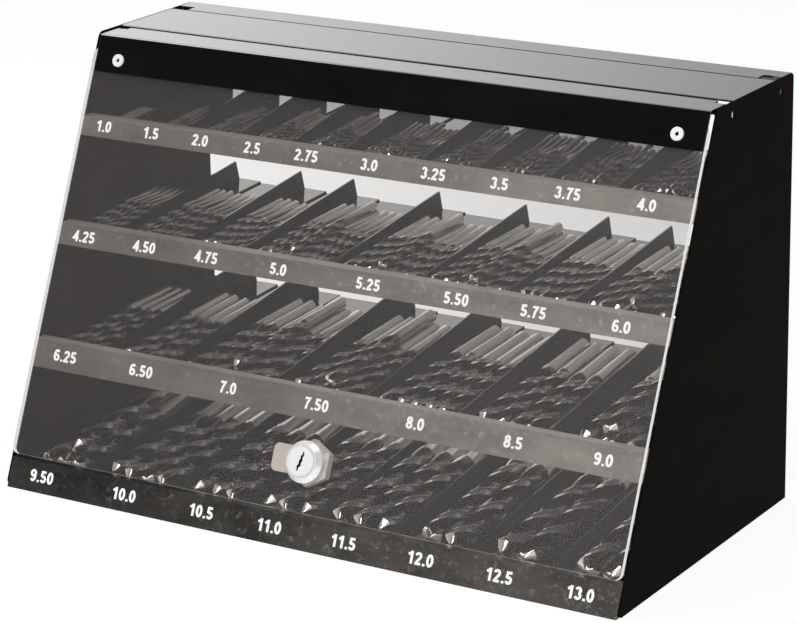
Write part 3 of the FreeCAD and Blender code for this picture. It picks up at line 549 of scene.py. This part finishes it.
# The pen's paths of each figure, in cap heights. A figure is 0.56 wide.
SIX = [arc(0.28, 0.31, 0.185, 0.215, 0, 360, 20),
       arc(0.29, 0.56, 0.190, 0.345, 38, 180) + [(0.10, 0.33)]]
FIGURES = {
    "0": [arc(0.28, 0.50, 0.185, 0.405, 0, 360, 28)],
    "1": [[(0.34, 0.0), (0.34, 1.0)], [(0.06, 0.70), (0.20, 0.78), (0.34, 0.95)]],
    "2": [arc(0.28, 0.70, 0.185, 0.205, 172, -28) + [(0.12, 0.10), (0.12, 0.095), (0.51, 0.095)]],
    "3": [arc(0.27, 0.715, 0.165, 0.19, 165, -80), arc(0.27, 0.30, 0.19, 0.205, 85, -165)],
    "4": [[(0.40, 0.0), (0.40, 1.0)], [(0.40, 0.92), (0.09, 0.305), (0.57, 0.305)]],
    "5": [[(0.49, 0.905), (0.16, 0.905), (0.125, 0.50)],
          [(0.125, 0.47)] + arc(0.275, 0.325, 0.19, 0.225, 118, -160)],
    "6": SIX,
    "7": [[(0.05, 0.905), (0.46, 0.905), (0.30, 0.52), (0.22, 0.0)]],
    "8": [arc(0.28, 0.725, 0.155, 0.18, 0, 360, 20), arc(0.28, 0.295, 0.185, 0.20, 0, 360, 20)],
    "9": [[(0.56 - x, 1 - y) for x, y in path] for path in SIX],
    ".": [[(0.13, 0.0), (0.13, 0.19)]],
}
PEN = 0.205                          # its width, in cap heights
# From one figure to the next, and before the first one, in cap heights.
ADVANCE, NARROW = 0.64, {"1": 0.60, ".": 0.30}
FIRST_GAP = 0.04
STRETCH = 1.10                       # the figures are a little wider than they are drawn
SAME_PLACE = 1e-6                    # a path that ends this near to its start is closed
SHARPEST = 0.5                       # keeps the ribbon's corners from reaching too far
# How far strokes stand off the paint, by turns, so that none lies in its neighbour's plane.
LOW_INK, HIGH_INK = 0.00004, 0.00007


def pen_stroke(path):
    """A ribbon of the pen's width along a path, as points and quads."""
    closed = math.dist(path[0], path[-1]) < SAME_PLACE
    if closed:
        path = path[:-1]
    points, count = [], len(path)
    for i, here in enumerate(path):
        before = path[i - 1] if i or closed else None
        after = path[(i + 1) % count] if i < count - 1 or closed else None
        ways = []
        for a, b in ((before, here), (here, after)):
            if a is not None and b is not None:
                way = Vector((b[0] - a[0], b[1] - a[1]))
                ways.append(way.normalized())
        along = sum(ways, Vector((0, 0))).normalized()
        side = Vector((-along.y, along.x))
        reach = PEN / 2 / max(SHARPEST, side.dot(Vector((-ways[0].y, ways[0].x))))
        points += [(here[0] + side.x * reach, here[1] + side.y * reach),
                   (here[0] - side.x * reach, here[1] - side.y * reach)]
    last = count if closed else count - 1
    quads = [(2 * i, 2 * i + 1, (2 * i + 3) % (2 * count), (2 * i + 2) % (2 * count))
             for i in range(last)]
    return points, quads


def make_labels():
    """The sizes printed on the rails and the lip, thin enough to clear the pane."""
    for row, (height, size, entries) in enumerate(LABELS, start=1):
        points, faces = [], []
        for place, words in entries:
            widths = [NARROW.get(figure, ADVANCE) for figure in words]
            x = -sum(widths) / 2 + FIRST_GAP
            middle = Vector((place * MM - HALF_WIDTH, FOOT_Y + height * MM * RUN / HEIGHT,
                             height * MM))
            lift = LOW_INK
            for figure, width in zip(words, widths):
                for path in FIGURES[figure]:
                    ribbon, quads = pen_stroke(path)
                    start = len(points)
                    for u, v in ribbon:
                        across = Vector(((x + u) * size * STRETCH * MM, 0, 0))
                        up = UP_SLOPE * ((v - 0.5) * size * MM)
                        points.append(tuple(middle + across + up + OUT * lift))
                    faces += [tuple(start + i for i in quad) for quad in quads]
                    lift = LOW_INK + HIGH_INK - lift
                x += width
        mesh = bpy.data.meshes.new(f"sizes_row_{row}")
        mesh.from_pydata(points, [], faces)
        mesh.materials.append(white_print)
        piece = bpy.data.objects.new(f"sizes_row_{row}", mesh)
        bpy.context.scene.collection.objects.link(piece)
        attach(piece, "case")


make_labels()


# ------------------------------------------------------------------ light, floor and camera

VIEW_YAW, VIEW_PITCH, VIEW_ROLL = (math.radians(a) for a in (32.071, 17.710, -1.068))
VIEW_FROM = (0.86034, -1.36268, 0.61728)
VIEW_LENS, VIEW_SENSOR = 143.03, 36.0    # focal length and sensor width, in mm
VIEW_RIGHT = (math.cos(VIEW_YAW), math.sin(VIEW_YAW), 0)
BEHIND = (-math.sin(VIEW_YAW), math.cos(VIEW_YAW), 0)

FLOOR_REACH = 8                      # metres to each side
FLOOR_WHITE = 1.06                   # how bright the floor's own white is
FLOOR_SHARE = 0.82                   # the white's share, over lit paint, where it is looked at
SHARE_THROUGH_ACRYLIC = 0.92


def make_floor():
    """White floor. It keeps the case's shadow, and through acrylic it has painted shade that
    darkens it toward the right.
    """
    mesh = bpy.data.meshes.new("studio_floor")
    corners = [(-1, -1), (1, -1), (1, 1), (-1, 1)]
    mesh.from_pydata([(x * FLOOR_REACH, y * FLOOR_REACH, 0) for x, y in corners], [],
                     [(0, 1, 2, 3)])
    floor = bpy.data.objects.new("studio_floor", mesh)
    bpy.context.scene.collection.objects.link(floor)
    n = material_nodes("studio_white")
    tone = n.noise(n.object_coords(), scale=0.4, detail=2.0, roughness=0.5)
    lit = n.shader(Roughness=0.9, Specular_IOR_Level=0.0)
    n.link(n.ramp(tone, (0.3, grey(0.90)), (0.7, grey(0.93))), lit.inputs["Base Color"])
    light = n.add("LightPath")
    through = n.where(light.outputs["Transparent Depth"], "GREATER_THAN", 0.5)
    strength = n.add("Mix", data_type="FLOAT", A=FLOOR_WHITE)
    n.link(through, strength.inputs["Factor"])
    # painted shade: seen through acrylic, the white fades from 1.0 to 0.6 toward the right
    n.link(n.rescale(n.along(VIEW_RIGHT, "Object"), start=-0.22, stop=0.26, low=1.0, high=0.60),
           strength.inputs["B"])
    white = n.add("Emission")
    n.link(strength.outputs["Result"], white.inputs["Strength"])
    share = n.add("Mix", data_type="FLOAT", A=FLOOR_SHARE, B=SHARE_THROUGH_ACRYLIC)
    n.link(through, share.inputs["Factor"])
    looked_at = n.combine("MAXIMUM", light.outputs["Is Camera Ray"],
                          light.outputs["Is Glossy Ray"])
    seen = n.combine("MULTIPLY", share.outputs["Result"], looked_at)
    n.owner.cycles.emission_sampling = "NONE"
    mesh.materials.append(n.finish(n.blend(seen, lit.outputs[0], white.outputs[0])))


def make_softbox(name, at, target, size, watts):
    """A rectangular lamp that faces a target."""
    light = bpy.data.lights.new(name, "AREA")
    light.shape = "RECTANGLE"
    light.size, light.size_y = size
    light.energy = watts
    lamp = bpy.data.objects.new(name, light)
    bpy.context.scene.collection.objects.link(lamp)
    lamp.location = at
    lamp.rotation_euler = (Vector(target) - Vector(at)).to_track_quat("-Z", "Y").to_euler()


def make_world():
    """A plain white studio, which glossy surfaces see as a bright wall behind the case."""
    world = bpy.data.worlds.new("studio")
    bpy.context.scene.world = world
    n = Nodes(world, "OutputWorld")
    behind = n.rescale(n.along(BEHIND, "Generated"), start=-0.25, stop=0.75, low=0.06, high=1.0,
                       smooth=True)
    by_side = n.rescale(n.along(VIEW_RIGHT, "Generated"), start=-0.25, stop=0.27, low=1.40,
                        high=0.36, smooth=True)
    wall = n.add("Background", Color=(1.0, 0.98, 0.965, 1))
    n.link(n.combine("MULTIPLY", behind, by_side), wall.inputs["Strength"])
    plain = n.add("Background", Color=(1.0, 0.99, 0.98, 1), Strength=0.30)
    white = n.add("Background", Color=(1, 1, 1, 1), Strength=1.0)
    light = n.add("LightPath")
    glossy = n.blend(light.outputs["Is Glossy Ray"], plain.outputs[0], wall.outputs[0])
    n.finish(n.blend(light.outputs["Is Camera Ray"], glossy, white.outputs[0]))


def make_camera():
    """The photograph's camera."""
    level = Vector(VIEW_RIGHT)
    ahead = Vector((-math.sin(VIEW_YAW) * math.cos(VIEW_PITCH),
                    math.cos(VIEW_YAW) * math.cos(VIEW_PITCH), -math.sin(VIEW_PITCH)))
    above = level.cross(ahead)
    right = math.cos(VIEW_ROLL) * level + math.sin(VIEW_ROLL) * above
    up = -math.sin(VIEW_ROLL) * level + math.cos(VIEW_ROLL) * above
    data = bpy.data.cameras.new("camera")
    data.lens, data.sensor_width, data.sensor_fit = VIEW_LENS, VIEW_SENSOR, "HORIZONTAL"
    data.clip_start, data.clip_end = 0.05, 50
    camera = bpy.data.objects.new("camera", data)
    bpy.context.scene.collection.objects.link(camera)
    turn = Matrix((right, up, -ahead)).transposed().to_4x4()
    camera.matrix_world = Matrix.Translation(VIEW_FROM) @ turn
    bpy.context.scene.camera = camera


make_floor()
make_world()
make_softbox("left_softbox", (-1.5, -0.2, 1.5), (0, 0, 0.1), size=(1.2, 1.2), watts=13)
make_softbox("front_softbox", (0.9, -2.1, 1.3), (0, 0, 0.12), size=(1.6, 1.3), watts=38)
make_softbox("top_softbox", (0.2, 0.4, 2.2), (0, 0, 0.1), size=(1.6, 1.2), watts=11)
make_camera()
bpy.context.scene.view_settings.view_transform = "Standard"
